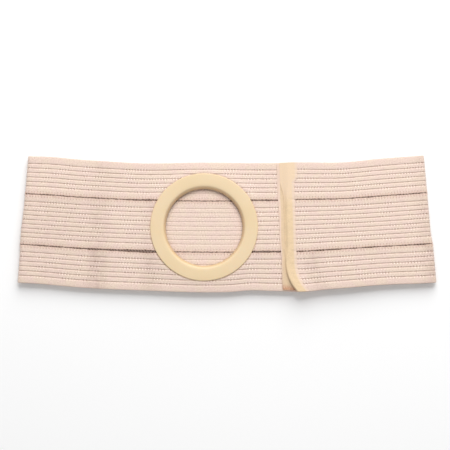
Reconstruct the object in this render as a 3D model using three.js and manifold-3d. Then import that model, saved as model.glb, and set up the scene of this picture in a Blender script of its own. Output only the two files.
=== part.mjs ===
// A hernia support belt with a stoma ring, closed into its loop and laid flat on a table.
// The belt is three ribbed elastic strips, joined edge to edge by stitching that leaves narrow open
// seams. A plastic ring sits round a hole in the front layer. The upper end is bound with tape and
// carries a hook tape below it, which grips the end that lies underneath.
// Millimetres, +Z up. X runs along the belt, Y across it towards its top edge, and the belt rests on
// z = 0 with its middle over the origin.

import * as THREE from "three";
import { mergeVertices } from "three/addons/utils/BufferGeometryUtils.js";
import Module from "manifold-3d";

// Main sizes of the belt
const BELT_WIDTH = 127;
const WALL = 1.6; // thickness of the elastic
const HOLLOW = 4.6; // free height between the back layer and the front layer
const SEAM_GAP = 0.8; // open slit between two strips
const PIECE_GAP = 0.3; // clearance between pieces that touch
const UPPER_SEAM = 26.1; // the two seams, measured across the belt from its middle
const LOWER_SEAM = -24.7;

// How the belt lies: bent in plan to a long arc, its folds at the two ends
const ARC_RADIUS = 2630;
const ARC_AXIS_X = -7.2;
const ARC_MIDDLE_Y = -3.5;
const FOLD_RADIUS = 3.4; // of the middle of the wall
const LEFT_FOLD = -191.6; // where each fold starts, along the belt
const RIGHT_FOLD = 205.6;
const FOLD_EASE = 34; // length over which the front layer comes down from the left fold

// Ribs of the elastic
const RIB_PITCH = 4.5;
const GROOVE_WIDTH = 1;
const GROOVE_DEPTH = 0.35;
const PLAIN_EDGE = 7.4; // flat band along each edge of a strip

// The stoma ring
const RING_ALONG = -15.5; // its centre, along the belt
const RING_OUTER_RADIUS = 53.3;
const RING_THICKNESS = 2.9;
const RING_OUTER_ROUND = 1.1;
const RING_LIP_RADIUS = 40.4; // the soft lip round the opening starts here
const RING_LIP_DROP = 1.56; // where it lies this far below the top,
const RING_LIP_FADE = 1.8; // and levels out about this far outwards
const RING_FLAT_RADIUS = 47; // the top is flat from here to the rim
const RING_FOOT_RADIUS = 38.1; // the opening narrows as a cone down to here
const RING_NECK_RADIUS = 41.2; // outside of the neck that goes through the elastic
const RING_SIDES = 60;
const HOLE_RADIUS = RING_NECK_RADIUS + PIECE_GAP;
const RING_STRETCH = 0.018; // the ring spreads the elastic round it by this share
const RING_STRETCH_REACH = 48;

// The closure
const UPPER_END = 63.8; // outer edge of the binding, along the belt
const UNDER_END = 104; // where the covered end stops
const HOOK_TAPE_THICKNESS = 1.1;
const HOOK_TAPE_EDGE = 59.2; // its outer edge, which shows past the binding
const HOOK_TAPE_SKEW = 0.03; // that edge leans this much across the belt
const HOOK_TAPE_WIDTH = 42;
const BINDING_THICKNESS = 0.7;
const BINDING_WIDTH = 11.2; // how far the binding covers the upper end
const TOP_REACH = 3.4; // towards the top edge the end reaches further over the hook tape
const TOP_REACH_START = 28;
const TOP_REACH_LENGTH = 18;
const CORNER_START = -30; // the lower corner is rounded from here down
const CORNER_SETBACK = 11;
const CORNER_POWER = 2.7;
const CORNER_LIFT = 2.4; // the rounded corner curls up
const CORNER_LIFT_REACH = 26;

// Heights worked out from the sizes above
const HALF_WIDTH = BELT_WIDTH / 2;
const BACK_HEIGHT = WALL / 2;
const FRONT_HEIGHT = WALL + HOLLOW + WALL / 2;
const FRONT_TOP = FRONT_HEIGHT + WALL / 2;
const FOLD_TOP = BACK_HEIGHT + 2 * FOLD_RADIUS;
const TAPE_HEIGHT = FRONT_TOP + PIECE_GAP + HOOK_TAPE_THICKNESS / 2;
const UPPER_HEIGHT = TAPE_HEIGHT + HOOK_TAPE_THICKNESS / 2 + PIECE_GAP + WALL / 2;
const UPPER_TOP = UPPER_HEIGHT + WALL / 2;

// Places along the loop where the wall gets a section
const FRONT_STATIONS = [UNDER_END, 62, 34, 10, -15.5, -41, -68, -105, -158, -174, LEFT_FOLD];
const UPPER_SHARES = [0.3, 0.55, 0.74, 0.86, 0.94, 1];
const FOLD_STEPS = 5;
const BACK_STEPS = 5;

const COLOURS = {
  elastic: 0xeed6c4,
  ring: 0xf0d9ad,
  tape: 0xeed3b6,
  binding: 0xefd2b2,
};

const wasm = await Module();
wasm.setup();

const smooth = (x) => THREE.MathUtils.smoothstep(x, 0, 1);
const lerp = THREE.MathUtils.lerp;

// Plan of the belt: a place along and across it becomes X and Y on the table.
function onTable(along, across, height) {
  const angle = along / ARC_RADIUS;
  const radius = ARC_RADIUS - across;
  return new THREE.Vector3(
    ARC_AXIS_X + radius * Math.sin(angle),
    ARC_MIDDLE_Y + ARC_RADIUS - radius * Math.cos(angle),
    height,
  );
}

// The ring pushes the front layer's ribs apart a little, most at its own centre line.
function stretchedAcross(along, across) {
  const away = (along - RING_ALONG) / RING_STRETCH_REACH;
  return across * (1 + RING_STRETCH * Math.exp(-away * away));
}

// Outer edge of the upper end: its lower corner is rounded, and it reaches further near the top.
function topReach(across) {
  return TOP_REACH * smooth((across - TOP_REACH_START) / TOP_REACH_LENGTH);
}

function upperEndEdge(across) {
  const share = Math.max(0, CORNER_START - across) / (HALF_WIDTH + CORNER_START);
  return UPPER_END - topReach(across) + CORNER_SETBACK * share ** CORNER_POWER;
}

function cornerLift(along, across) {
  const tip = UPPER_END + CORNER_SETBACK;
  const away = Math.hypot(along - tip, across + HALF_WIDTH);
  return CORNER_LIFT * smooth(1 - away / CORNER_LIFT_REACH);
}

// Height of the front layer's middle, from the covered end to the left fold.
function frontHeight(along) {
  const share = smooth(1 - (along - LEFT_FOLD) / FOLD_EASE);
  return lerp(FRONT_HEIGHT, FOLD_TOP, share);
}

// Height of the upper layer's middle, from the right fold to the bound end.
function upperHeight(along) {
  const share = smooth((along - UNDER_END) / (RIGHT_FOLD - UNDER_END));
  return lerp(UPPER_HEIGHT, FOLD_TOP, share);
}

// One place on the loop: a point of the wall's middle and the way the outer face looks.
// A place's along and height may depend on where it is across the belt.
function frontPlace(along) {
  return (across) => ({
    along,
    across: stretchedAcross(along, across),
    height: frontHeight(along),
    outAlong: 0,
    outUp: 1,
  });
}

function foldPlace(centreAlong, degrees) {
  const turn = THREE.MathUtils.degToRad(degrees);
  const outAlong = Math.cos(turn);
  const outUp = Math.sin(turn);
  return (across) => ({
    along: centreAlong + FOLD_RADIUS * outAlong,
    across,
    height: BACK_HEIGHT + FOLD_RADIUS + FOLD_RADIUS * outUp,
    outAlong,
    outUp,
  });
}

function backPlace(share) {
  const along = lerp(LEFT_FOLD, RIGHT_FOLD, share);
  return (across) => ({ along, across, height: BACK_HEIGHT, outAlong: 0, outUp: -1 });
}

function upperPlace(share) {
  return (across) => {
    const end = upperEndEdge(across) + BINDING_THICKNESS + PIECE_GAP;
    const along = lerp(RIGHT_FOLD, end, share);
    const height = upperHeight(along) + cornerLift(along, across);
    return { along, across, height, outAlong: 0, outUp: 1 };
  };
}

function loopPlaces() {
  const steps = (count) => Array.from({ length: count }, (_, k) => (k + 1) / count);
  return [
    ...FRONT_STATIONS.map(frontPlace),
    ...steps(FOLD_STEPS).map((share) => foldPlace(LEFT_FOLD, 90 + 180 * share)),
    ...steps(BACK_STEPS).map(backPlace),
    ...steps(FOLD_STEPS).map((share) => foldPlace(RIGHT_FOLD, -90 + 180 * share)),
    ...UPPER_SHARES.map(upperPlace),
  ];
}

// Columns of a strip from its lower edge to its upper edge: three for each groove of the elastic.
function stripColumns(low, high) {
  const ribbed = high - low - 2 * PLAIN_EDGE;
  const ribs = Math.round(ribbed / RIB_PITCH);
  const columns = [{ across: low, dent: 0 }];
  for (let k = 0; k <= ribs; k++) {
    const groove = low + PLAIN_EDGE + (ribbed * k) / ribs;
    columns.push({ across: groove - GROOVE_WIDTH / 2, dent: 0 });
    columns.push({ across: groove, dent: GROOVE_DEPTH });
    columns.push({ across: groove + GROOVE_WIDTH / 2, dent: 0 });
  }
  columns.push({ across: high, dent: 0 });
  return columns;
}

// A closed block of nu by 1 by nv cells whose corners are moved to where place(i, side, j) says,
// with side 0 on the inner face and 1 on the outer face.
function warpedBlock(nu, nv, place) {
  const block = new THREE.BoxGeometry(nu, 1, nv, nu, 1, nv);
  block.translate(nu / 2, 0.5, nv / 2);
  const position = block.getAttribute("position");
  for (let k = 0; k < position.count; k++) {
    const [i, side, j] = [position.getX(k), position.getY(k), position.getZ(k)].map(Math.round);
    const point = place(i, side, j);
    position.setXYZ(k, point.x, point.y, point.z);
  }
  return block;
}

function stripGeometry(low, high) {
  const places = loopPlaces();
  const columns = stripColumns(low, high);
  return warpedBlock(places.length - 1, columns.length - 1, (i, side, j) => {
    const { across, dent } = columns[j];
    const at = places[i](across);
    const out = (side - 0.5) * (WALL - 2 * dent);
    return onTable(at.along + out * at.outAlong, at.across, at.height + out * at.outUp);
  });
}

// Solids are cut and joined as closed meshes with shared corners.
function toSolid(geometry) {
  const bare = geometry.clone();
  bare.deleteAttribute("normal");
  bare.deleteAttribute("uv");
  const merged = mergeVertices(bare, 1e-4);
  return new wasm.Manifold(
    new wasm.Mesh({
      numProp: 3,
      vertProperties: merged.getAttribute("position").array,
      triVerts: new Uint32Array(merged.index.array),
    }),
  );
}

function toGeometry(solid) {
  const mesh = solid.getMesh();
  const geometry = new THREE.BufferGeometry();
  geometry.setAttribute("position", new THREE.BufferAttribute(new Float32Array(mesh.vertProperties), 3));
  geometry.setIndex(new THREE.BufferAttribute(new Uint32Array(mesh.triVerts), 1));
  geometry.computeVertexNormals();
  return geometry;
}

function ringCentre(height) {
  return onTable(RING_ALONG, 0, height);
}

// The round hole for the ring, through the front layer alone
function ringHole() {
  const floor = WALL + HOLLOW / 2;
  const ceiling = FRONT_TOP + WALL;
  const hole = new THREE.CylinderGeometry(HOLE_RADIUS, HOLE_RADIUS, ceiling - floor, RING_SIDES);
  hole.rotateX(Math.PI / 2);
  const middle = ringCentre((floor + ceiling) / 2);
  hole.translate(middle.x, middle.y, middle.z);
  return toSolid(hole);
}

// The strip's solid with the hole cut out, as its separate bodies, the longest first
function cutStrip(low, high) {
  const bodies = toSolid(stripGeometry(low, high)).subtract(ringHole()).decompose();
  bodies.sort((a, b) => b.volume() - a.volume());
  return bodies.map(toGeometry);
}

function roundedCorner(centreR, centreZ, radius, fromDegrees, toDegrees, steps) {
  const points = [];
  for (let k = 0; k <= steps; k++) {
    const turn = THREE.MathUtils.degToRad(lerp(fromDegrees, toDegrees, k / steps));
    points.push(new THREE.Vector2(centreR + radius * Math.cos(turn), centreZ + radius * Math.sin(turn)));
  }
  return points;
}

// Ring: a flat flange, a soft lip that falls to a steep cone round the opening, and a neck
function ringGeometry() {
  const under = FRONT_TOP + PIECE_GAP;
  const top = under + RING_THICKNESS;
  const neckFoot = FRONT_HEIGHT - WALL / 2;
  const outer = RING_OUTER_ROUND;
  const lip = [4, 2, 0.8, 0].map((away) => {
    const drop = RING_LIP_DROP * Math.exp(-away / RING_LIP_FADE);
    return new THREE.Vector2(RING_LIP_RADIUS + away, top - drop);
  });
  const profile = [
    new THREE.Vector2(RING_FOOT_RADIUS, neckFoot),
    new THREE.Vector2(RING_NECK_RADIUS, neckFoot),
    new THREE.Vector2(RING_NECK_RADIUS, under),
    new THREE.Vector2(RING_OUTER_RADIUS, under),
    ...roundedCorner(RING_OUTER_RADIUS - outer, top - outer, outer, 0, 90, 3),
    new THREE.Vector2(RING_FLAT_RADIUS, top),
    ...lip,
    new THREE.Vector2(RING_FOOT_RADIUS, neckFoot),
  ];
  const ring = new THREE.LatheGeometry(profile, RING_SIDES);
  ring.rotateX(Math.PI / 2);
  const centre = ringCentre(0);
  ring.translate(centre.x, centre.y, 0);
  return ring;
}

// Hook tape: a flat strip on the covered end, across the whole belt
function hookTapeGeometry() {
  const [stepsAlong, stepsAcross] = [3, 6];
  return warpedBlock(stepsAlong, stepsAcross, (i, side, j) => {
    const across = lerp(-HALF_WIDTH, HALF_WIDTH, j / stepsAcross);
    const edge = HOOK_TAPE_EDGE - HOOK_TAPE_SKEW * across;
    const along = edge + (HOOK_TAPE_WIDTH * (stepsAlong - i)) / stepsAlong;
    return onTable(along, across, TAPE_HEIGHT + (side - 0.5) * HOOK_TAPE_THICKNESS);
  });
}

// Binding: a tape folded over the upper end, from its free edge on top, round the end, and down
function endBindingGeometry() {
  const half = BINDING_THICKNESS / 2;
  const height = UPPER_TOP + PIECE_GAP + half;
  const round = 0.9;
  const bevel = half + 0.16;
  // The tape's middle line: inset from the outer edge, drop from the top, and its outward direction
  const line = [
    { widthShare: 1, inset: 0, drop: 0, outAlong: 0, outUp: 1 },
    { widthShare: 0.5, inset: round, drop: 0, outAlong: 0, outUp: 1 },
    { widthShare: 0, inset: round, drop: 0, outAlong: 0, outUp: 1 },
    { widthShare: 0, inset: bevel, drop: bevel - half, outAlong: -Math.SQRT1_2, outUp: Math.SQRT1_2 },
    { widthShare: 0, inset: half, drop: round, outAlong: -1, outUp: 0 },
    { widthShare: 0, inset: half, drop: WALL + PIECE_GAP + half, outAlong: -1, outUp: 0 },
  ];
  const stepsAcross = 24;
  return warpedBlock(line.length - 1, stepsAcross, (i, side, j) => {
    const across = lerp(-HALF_WIDTH, HALF_WIDTH, j / stepsAcross);
    const { widthShare, inset, drop, outAlong, outUp } = line[i];
    const width = BINDING_WIDTH + topReach(across);
    const along = upperEndEdge(across) + inset + widthShare * (width - inset);
    const out = (side - 0.5) * BINDING_THICKNESS;
    const lift = cornerLift(along, across);
    return onTable(along + out * outAlong, across, height - drop + lift + out * outUp);
  });
}

function piece(name, geometry, color, roughness) {
  const material = new THREE.MeshStandardMaterial({ color, roughness, metalness: 0 });
  const mesh = new THREE.Mesh(geometry, material);
  mesh.name = name;
  return mesh;
}

function belt() {
  const slit = SEAM_GAP / 2;
  const [topStrip] = cutStrip(UPPER_SEAM + slit, HALF_WIDTH);
  const [middleStrip, middleStripShort] = cutStrip(LOWER_SEAM + slit, UPPER_SEAM - slit);
  const [bottomStrip] = cutStrip(-HALF_WIDTH, LOWER_SEAM - slit);
  const group = new THREE.Group();
  group.add(
    piece("top_strip", topStrip, COLOURS.elastic, 0.9),
    piece("middle_strip", middleStrip, COLOURS.elastic, 0.9),
    piece("middle_strip_short", middleStripShort, COLOURS.elastic, 0.9),
    piece("bottom_strip", bottomStrip, COLOURS.elastic, 0.9),
    piece("stoma_ring", ringGeometry(), COLOURS.ring, 0.45),
    piece("hook_tape", hookTapeGeometry(), COLOURS.tape, 0.95),
    piece("end_binding", endBindingGeometry(), COLOURS.binding, 0.85),
  );
  return group;
}

export default belt();
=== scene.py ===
# %% [markdown]
# # A ribbed hernia belt, laid flat
#
# This lesson dresses a stoma support belt: three ribbed elastic webs joined by zigzag stitching,
# a moulded plastic ring, and a hook-tape closure. The engineering model gives every place and size.
# Here each plain solid gets the piece that the eye sees in its stead, or a proper finish.

import math

import bpy
import numpy as np
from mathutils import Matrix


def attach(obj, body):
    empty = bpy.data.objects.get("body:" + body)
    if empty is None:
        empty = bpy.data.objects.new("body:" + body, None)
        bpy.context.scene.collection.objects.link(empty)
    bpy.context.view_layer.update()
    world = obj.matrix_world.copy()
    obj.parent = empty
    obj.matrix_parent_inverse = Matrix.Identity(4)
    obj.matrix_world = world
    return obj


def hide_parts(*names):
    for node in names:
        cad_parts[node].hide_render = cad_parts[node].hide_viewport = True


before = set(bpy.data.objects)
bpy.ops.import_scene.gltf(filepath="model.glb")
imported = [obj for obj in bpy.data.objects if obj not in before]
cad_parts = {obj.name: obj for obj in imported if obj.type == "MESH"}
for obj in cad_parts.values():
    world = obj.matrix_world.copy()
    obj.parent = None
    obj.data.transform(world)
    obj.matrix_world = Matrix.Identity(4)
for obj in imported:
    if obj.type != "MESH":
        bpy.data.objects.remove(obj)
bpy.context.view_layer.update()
MM = 0.001

# %% [markdown]
# ## The camera
#
# The belt was photographed from almost straight above. A long lens at a metre keeps its long edges
# nearly parallel. The camera leans back a few degrees towards the lower edge, so that a sliver of
# that edge shows and the ring's far wall is seen inside its opening.

# %% Place the camera
FRAME_WIDTH = 446.4 * MM  # what the picture spans at the belt
CAMERA_DISTANCE = 1400 * MM
CAMERA_ELEVATION = math.radians(86)
CAMERA_TARGET = (-2.0 * MM, -1.2 * MM, 6 * MM)

camera_data = bpy.data.cameras.new("camera")
camera_data.sensor_width = 36
camera_data.lens = camera_data.sensor_width * CAMERA_DISTANCE / FRAME_WIDTH
camera = bpy.data.objects.new("camera", camera_data)
bpy.context.scene.collection.objects.link(camera)
camera.location = (
    CAMERA_TARGET[0],
    CAMERA_TARGET[1] - CAMERA_DISTANCE * math.cos(CAMERA_ELEVATION),
    CAMERA_TARGET[2] + CAMERA_DISTANCE * math.sin(CAMERA_ELEVATION),
)
camera.rotation_euler = (math.pi / 2 - CAMERA_ELEVATION, 0, 0)
bpy.context.scene.camera = camera
print("lens in mm:", round(camera_data.lens, 1))

# %% [markdown]
# ## Sizes
#
# The pieces below repeat the solids' own sizes, so that each one lies where its solid does. "Along"
# runs round the loop's length, "across" from the lower edge to the upper one, both measured from
# the belt's middle. Only the ring's lip lies 0.4 mm further in than the solid's, because its edge
# is drawn sharper here.

# %% Name the belt's sizes
HALF_WIDTH = 63.5 * MM
WALL = 1.6 * MM
HOLLOW = 4.6 * MM
UPPER_SEAM = 26.1 * MM
LOWER_SEAM = -24.7 * MM
ARC_RADIUS = 2630 * MM
ARC_AXIS_X = -7.2 * MM
ARC_MIDDLE_Y = -3.5 * MM
FOLD_RADIUS = 3.4 * MM
LEFT_FOLD = -191.6 * MM
RIGHT_FOLD = 205.6 * MM
FOLD_EASE = 34 * MM
RIB_PITCH = 4.5 * MM
PLAIN_EDGE = 7.4 * MM
RING_ALONG = -15.5 * MM
RING_OUTER_RADIUS = 53.3 * MM
RING_THICKNESS = 2.9 * MM
RING_LIP_RADIUS = 40.0 * MM
RING_LIP_DROP = 0.75 * MM  # the face falls softly by this much towards the opening,
RING_LIP_FADE = 1.5 * MM  # over about this width,
RING_EDGE_DROP = 0.8 * MM  # and turns sharply down by this much more
RING_EDGE_FADE = 0.25 * MM  # at its very edge
RING_FOOT_RADIUS = 38.1 * MM
RING_NECK_RADIUS = 41.2 * MM
HOLE_RADIUS = RING_NECK_RADIUS + 0.3 * MM
UPPER_END = 63.8 * MM
UNDER_END = 104 * MM
HOOK_TAPE_THICKNESS = 1.1 * MM
HOOK_TAPE_EDGE = 59.2 * MM
HOOK_TAPE_SKEW = 0.03
HOOK_TAPE_WIDTH = 42 * MM
BINDING_THICKNESS = 0.7 * MM
BINDING_WIDTH = 11.2 * MM
TOP_REACH = 3.4 * MM
TOP_REACH_START = 28 * MM
TOP_REACH_LENGTH = 18 * MM
CORNER_START = -30 * MM
CORNER_SETBACK = 11 * MM
CORNER_POWER = 2.7
CORNER_LIFT = 2.4 * MM
CORNER_LIFT_REACH = 26 * MM

GAP = 0.3 * MM
BACK_HEIGHT = WALL / 2
FRONT_HEIGHT = WALL + HOLLOW + WALL / 2
FRONT_TOP = FRONT_HEIGHT + WALL / 2
FOLD_TOP = BACK_HEIGHT + 2 * FOLD_RADIUS
TAPE_BASE = FRONT_TOP + GAP
UPPER_HEIGHT = TAPE_BASE + HOOK_TAPE_THICKNESS + GAP + WALL / 2
UPPER_TOP = UPPER_HEIGHT + WALL / 2

# %% [markdown]
# ## How the belt lies
#
# The loop is one long path: the front layer, the left fold, the back layer, the right fold and the
# upper layer that closes over the front one. A web could be swept with a curve modifier, but the
# layers spread and lean differently across the belt, so the path is written as a function instead.
# It takes flat cloth, a length and a width, and gives the place in space. A slight arc in plan and
# faint waves in height keep the elastic from looking like a machined plate.

# %% Describe how the belt lies on the table
UPPER_EDGE, LOWER_EDGE = 1, -1
EDGE_WANDER = (  # which edge, place along it, reach, how far it strays outwards
    (UPPER_EDGE, -170 * MM, 22 * MM, 1.1 * MM),
    (UPPER_EDGE, -75 * MM, 34 * MM, -1.0 * MM),
    (UPPER_EDGE, 122 * MM, 30 * MM, -2.0 * MM),
    (LOWER_EDGE, -178 * MM, 34 * MM, -1.6 * MM),
    (LOWER_EDGE, 30 * MM, 14 * MM, -1.2 * MM),
    (LOWER_EDGE, 80 * MM, 18 * MM, 1.7 * MM),
    (LOWER_EDGE, 158 * MM, 34 * MM, -1.6 * MM),
)
END_START = 150 * MM  # the ends' own shapes begin this far from the middle:
END_PULL = 1.2 * MM  # the right end's upper half lies this much further in
END_PUSH = 1.0 * MM  # and the left end's middle this much further out
PUSH_UP = 1.9 * MM  # how far the ring pushes the ribs above and below it
PUSH_DOWN = 2.6 * MM
PUSH_REACH = 46 * MM
WAVES = (  # height, length along the belt, length across it, start
    (0.14 * MM, 31 * MM, 70 * MM, 0.0),
    (0.05 * MM, 12 * MM, -26 * MM, 1.3),
)
SLOPE_TOP = 9.0 * MM  # the upper end slopes down over this width at the belt's top,
SLOPE_MIDDLE = 3.5 * MM  # in its middle
SLOPE_LOW = 1.1 * MM  # and near its lower corner
SLOPE_LOW_START = -38 * MM
SLOPE_CHANGE = 16 * MM


def smooth(x):
    x = np.clip(x, 0, 1)
    return x * x * (3 - 2 * x)


def lerp(a, b, share):
    return a + (b - a) * share


def hump(x, middle, reach):
    return np.exp(-(((x - middle) / reach) ** 2))


def on_table(along, across, height):
    """Plan of the belt: a place along and across it becomes X, Y and Z."""
    stray = 0
    for edge, place, reach, outwards in EDGE_WANDER:
        share = np.clip(edge * across / HALF_WIDTH, 0, 1)
        stray = stray + edge * outwards * share * hump(along, place, reach)
    angle = along / ARC_RADIUS
    radius = ARC_RADIUS - across - stray
    pull = END_PULL * smooth((along - END_START) / (50 * MM)) * smooth((across + 30 * MM) / (20 * MM))
    push = END_PUSH * smooth((-along - END_START) / (40 * MM)) * hump(across, -13 * MM, 20 * MM)
    x = ARC_AXIS_X + radius * np.sin(angle) - pull - push
    y = ARC_MIDDLE_Y + ARC_RADIUS - radius * np.cos(angle)
    return np.stack(np.broadcast_arrays(x, y, height), axis=-1)


def pushed(along, across):
    """The ring spreads the front layer's ribs, most of all those that pass beside its rim."""
    share = across / HALF_WIDTH
    size = np.where(across > 0, PUSH_UP, PUSH_DOWN)
    return across + size * hump(along, RING_ALONG, PUSH_REACH) * share * (1.5 - 1.1 * share**2)


def wavy(along, across):
    """Faint waves that cloth keeps when it is laid down by hand."""
    height = 0
    for size, length, slant, start in WAVES:
        height = height + size * np.sin(along / length + across / slant + start)
    return height


def top_reach(across):
    return TOP_REACH * smooth((across - TOP_REACH_START) / TOP_REACH_LENGTH)


def end_edge(across):
    """Outer edge of the upper end: its lower corner is rounded, its top reaches further."""
    share = np.maximum(0, CORNER_START - across) / (HALF_WIDTH + CORNER_START)
    return UPPER_END - top_reach(across) + CORNER_SETBACK * share**CORNER_POWER


def gentle(across):
    """1 where the upper end slopes softly on to the hook tape, 0 at its steep lower corner."""
    return smooth((across - SLOPE_LOW_START) / SLOPE_CHANGE)


def end_slope(across):
    """Width over which the upper end slopes down."""
    slope = lerp(SLOPE_MIDDLE, SLOPE_TOP, smooth((across - TOP_REACH_START) / SLOPE_CHANGE))
    return lerp(SLOPE_LOW, slope, gentle(across))


def corner_lift(along, across):
    away = np.hypot(along - UPPER_END - CORNER_SETBACK, across + HALF_WIDTH)
    return CORNER_LIFT * smooth(1 - away / CORNER_LIFT_REACH)


three_places = np.array([60, 0, -60]) * MM
print("upper end's edge in mm at the top, middle and bottom:", end_edge(three_places) / MM)

# %% Describe the runs of the loop
STATION = 2.25 * MM  # spacing of the cloth's cross-sections on the straight runs
FOLD_STATIONS = 14
BULGE = 4.25 * MM  # the back layer swells up towards the ring's opening
BULGE_LOWER = 4 * MM  # the swelling's middle is this much below the ring's, so it leans on its foot
BULGE_RADIUS = 33 * MM
BULGE_FALL = 14 * MM
RIM_SWELL = 2.3 * MM  # the elastic bulges round the ring's rim, which presses into it:
RIM_SWELL_START = 1.1 * MM  # it starts to rise this far inside the rim,
RIM_SWELL_RISE = 2.0 * MM  # is up over this width
RIM_SWELL_REACH = 12 * MM  # and fades over this one


def straight(start, end):
    count = int(abs(end - start) / STATION)
    return np.linspace(start, end, count)[:, None]


def rim_swell(along, across):
    past_rim = np.hypot(along - RING_ALONG, across) - RING_OUTER_RADIUS
    rise = smooth((past_rim + RIM_SWELL_START) / RIM_SWELL_RISE)
    return RIM_SWELL * rise * np.exp(-np.maximum(past_rim, 0) / RIM_SWELL_REACH)


def front_run(across):
    along = straight(UNDER_END, LEFT_FOLD)
    across = pushed(along, across)
    inwards = (along - LEFT_FOLD) / FOLD_EASE
    height = lerp(FOLD_TOP, FRONT_HEIGHT, smooth(inwards)) + wavy(along, across) * smooth(inwards)
    return along, across, height + rim_swell(along, across)


def back_run(across):
    along = straight(LEFT_FOLD, RIGHT_FOLD)
    away = np.hypot(along - RING_ALONG, across + BULGE_LOWER)
    height = BACK_HEIGHT + BULGE * smooth((BULGE_RADIUS + BULGE_FALL - away) / BULGE_FALL)
    return along, across, height


def upper_run(across):
    share = np.linspace(0, 1, UPPER_STATIONS)[:, None]
    along = lerp(RIGHT_FOLD, end_edge(across) + end_slope(across) + GAP, share)
    height = lerp(UPPER_HEIGHT, FOLD_TOP, smooth((along - UNDER_END) / (RIGHT_FOLD - UNDER_END)))
    calm = smooth(share * 4) * smooth((1 - share) * 3)
    height = height + corner_lift(along, across) + wavy(along, across) * calm
    return along, across, height


def fold_run(across, place, first_degree):
    turn = np.radians(np.linspace(first_degree, first_degree + 180, FOLD_STATIONS + 1)[1:-1, None])
    along = place + FOLD_RADIUS * np.cos(turn)
    height = BACK_HEIGHT + FOLD_RADIUS * (1 + np.sin(turn))
    return along, across, height


def loop_surface(across):
    """Middle surface of the elastic: a row of points for each station along the loop."""
    across = np.asarray(across, float)[None, :]
    runs = (
        front_run(across),
        fold_run(across, LEFT_FOLD, 90),
        back_run(across),
        fold_run(across, RIGHT_FOLD, 270),
        upper_run(across),
    )
    runs = [np.broadcast_arrays(*run) for run in runs]
    along, moved, height = (np.concatenate(parts) for parts in zip(*runs))
    return on_table(along, moved, height), along, [len(run[0]) for run in runs]


UPPER_STATIONS = int((RIGHT_FOLD - UPPER_END) / STATION)
centre_line, _, run_sizes = loop_surface([0.0])
steps = np.linalg.norm(np.diff(centre_line[:, 0], axis=0), axis=1)
LENGTH = np.concatenate([[0], np.cumsum(steps)])  # length of cloth reached at each station
BACK_START, BACK_END = sum(run_sizes[:2]), sum(run_sizes[:3])
STATIONS = np.arange(len(LENGTH))
ON_FRONT = (STATIONS < run_sizes[0]).astype(float)
ON_BACK = ((STATIONS >= BACK_START) & (STATIONS < BACK_END)).astype(float)
ON_UPPER = (STATIONS >= BACK_END).astype(float)
loop_length = LENGTH[-1]
print("length of elastic in mm:", round(loop_length / MM), "stations:", len(LENGTH))

# %% [markdown]
# ## Helpers for materials
#
# Every finish is built from nodes. These helpers keep the recipes short: they add a node, do
# arithmetic, mix colours, make soft steps and cloudy noise, and wire the result to the shader.

# %% Make helpers for node materials


def new_material(name):
    material = bpy.data.materials.new(name)
    material.use_nodes = True
    tree = material.node_tree
    shader = tree.nodes["Principled BSDF"]
    return material, tree, shader


def fill(tree, socket, value):
    """Link a socket to a node's output, or give it a plain value."""
    if isinstance(value, bpy.types.NodeSocket):
        tree.links.new(value, socket)
    else:
        socket.default_value = value


def add_node(tree, kind, settings=None, **sockets):
    node = tree.nodes.new(kind)
    for key, value in (settings or {}).items():
        setattr(node, key, value)
    for key, value in sockets.items():
        fill(tree, node.inputs[key.replace("_", " ")], value)
    return node


def maths(tree, operation, *values):
    node = tree.nodes.new("ShaderNodeMath")
    node.operation = operation
    for socket, value in zip(node.inputs, values):
        fill(tree, socket, value)
    return node.outputs[0]


def times(tree, first, second):
    return maths(tree, "MULTIPLY", first, second)


def times_plus(tree, first, second, third):
    return maths(tree, "MULTIPLY_ADD", first, second, third)


def mix_colours(tree, factor, first, second):
    node = tree.nodes.new("ShaderNodeMix")
    node.data_type = "RGBA"
    for key, value in (("Factor_Float", factor), ("A_Color", first), ("B_Color", second)):
        fill(tree, next(s for s in node.inputs if s.identifier == key), value)
    return next(s for s in node.outputs if s.identifier == "Result_Color")


def ramp(tree, value, low, high):
    """0 below low, 1 above high, smooth between them."""
    settings = {"interpolation_type": "SMOOTHSTEP"}
    node = add_node(tree, "ShaderNodeMapRange", settings, Value=value, From_Min=low, From_Max=high)
    return node.outputs["Result"]


def fade(tree, value, low, high):
    """1 below low, 0 above high, smooth between them."""
    return maths(tree, "SUBTRACT", 1.0, ramp(tree, value, low, high))


def noise(tree, where, scale, detail, **sockets):
    """Cloudy values round 0.5, finer where the scale is larger."""
    node = add_node(tree, "ShaderNodeTexNoise", Vector=where, Scale=scale, Detail=detail, **sockets)
    return node.outputs["Fac"]


def uv_sides(tree, name):
    """A UV map as one vector and as its two sides."""
    place = add_node(tree, "ShaderNodeUVMap", {"uv_map": name}).outputs["UV"]
    sides = add_node(tree, "ShaderNodeSeparateXYZ", Vector=place)
    return place, sides.outputs["X"], sides.outputs["Y"]


def give_finish(tree, shader, tone, relief, strength, depth, **sockets):
    """Wire a colour and a relief to the shader, and fill its other sockets."""
    tree.links.new(tone, shader.inputs["Base Color"])
    bump = add_node(tree, "ShaderNodeBump", Height=relief, Strength=strength, Distance=depth)
    tree.links.new(bump.outputs["Normal"], shader.inputs["Normal"])
    for key, value in sockets.items():
        fill(tree, shader.inputs[key.replace("_", " ")], value)


def colour(red, green, blue):
    """A colour as a screen shows it, 0 to 255, turned into the light that it stands for."""
    shares = [c / 255 for c in (red, green, blue)]
    return (*[s / 12.92 if s <= 0.04045 else ((s + 0.055) / 1.055) ** 2.4 for s in shares], 1)


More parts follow.
